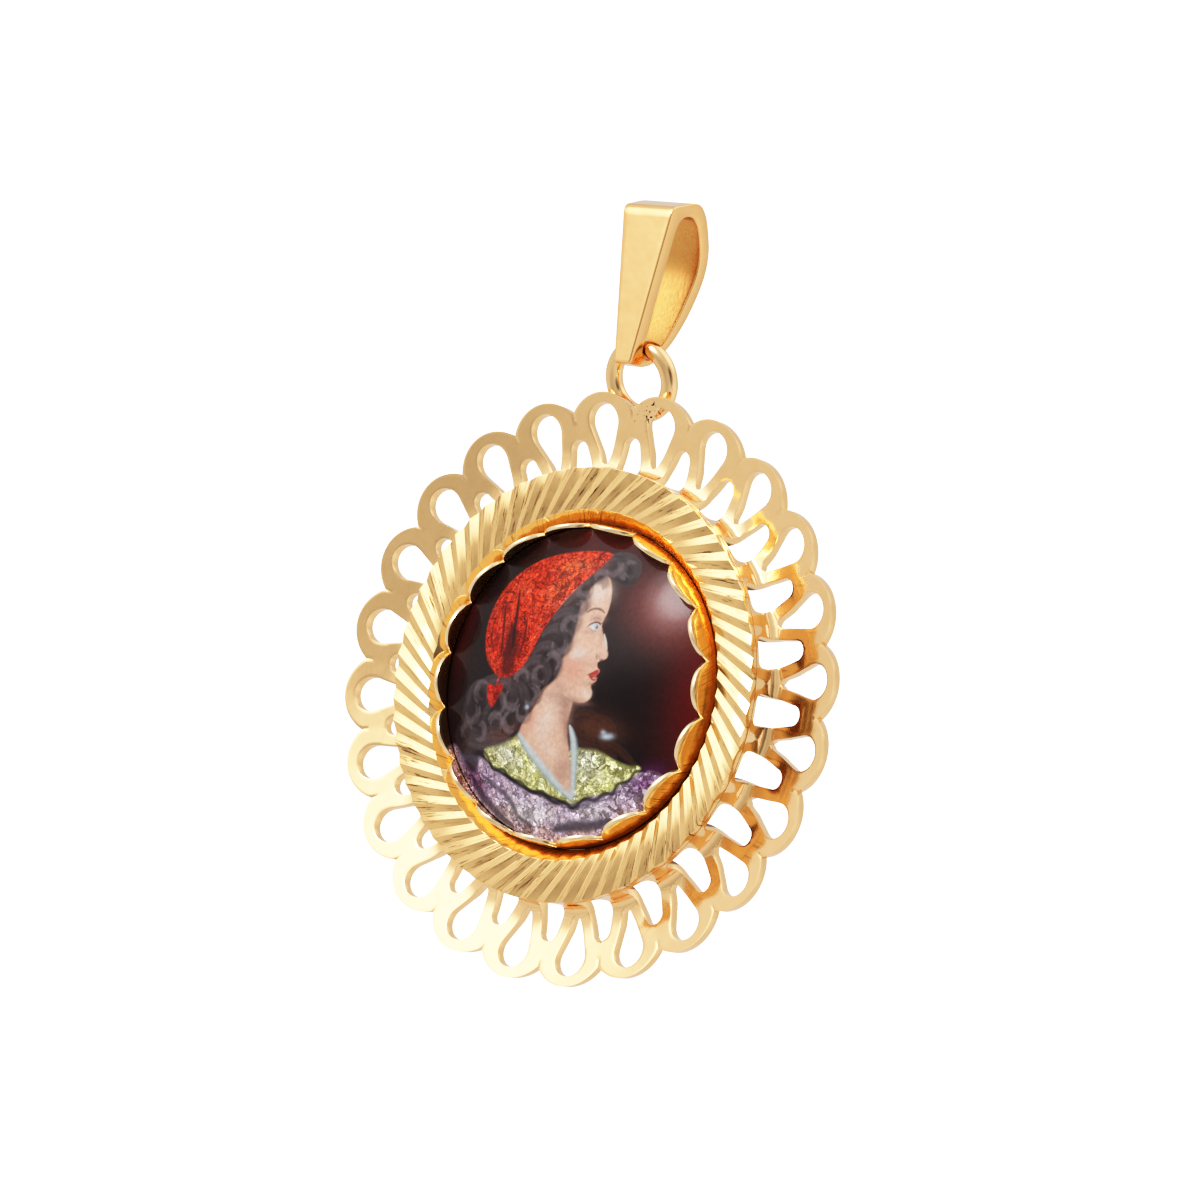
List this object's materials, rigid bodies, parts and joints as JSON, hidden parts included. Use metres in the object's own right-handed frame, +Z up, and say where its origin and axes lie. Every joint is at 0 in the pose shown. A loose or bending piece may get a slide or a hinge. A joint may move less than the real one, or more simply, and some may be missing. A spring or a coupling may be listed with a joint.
{
  "type": "enamel pendant",
  "caption": "Round pendant with a pierced petal frame, a fluted ring, a scalloped bezel and a domed enamel, swinging from a tapered bail.",
  "frame": {"origin": "highest point inside the bail, where the chain lies", "axes": "+Z up along the hanging pendant, +X to the right seen from the front, the enamel looks toward -Y"},
  "size_m": [0.0268, 0.0046, 0.0358],
  "materials": {
    "frame_gold": null,
    "fluted_gold": null,
    "bezel_gold": null,
    "painted_enamel": "glossy painted enamel over foil, dark maroon ground",
    "bail_gold": null
  },
  "bodies": {
    "bail": {"bail": "bail_gold"},
    "drop": {"openwork_frame": "frame_gold", "fluted_ring": "fluted_gold", "bezel_cup": "bezel_gold", "enamel": "painted_enamel"}
  },
  "joints": [
    {"name": "drop_swing", "type": "hinge", "parent": "bail", "child": "drop", "pos_m": [0, -0.00031, -0.00613], "axis": [1, 0, 0], "range_deg": [-140, 95]}
  ]
}
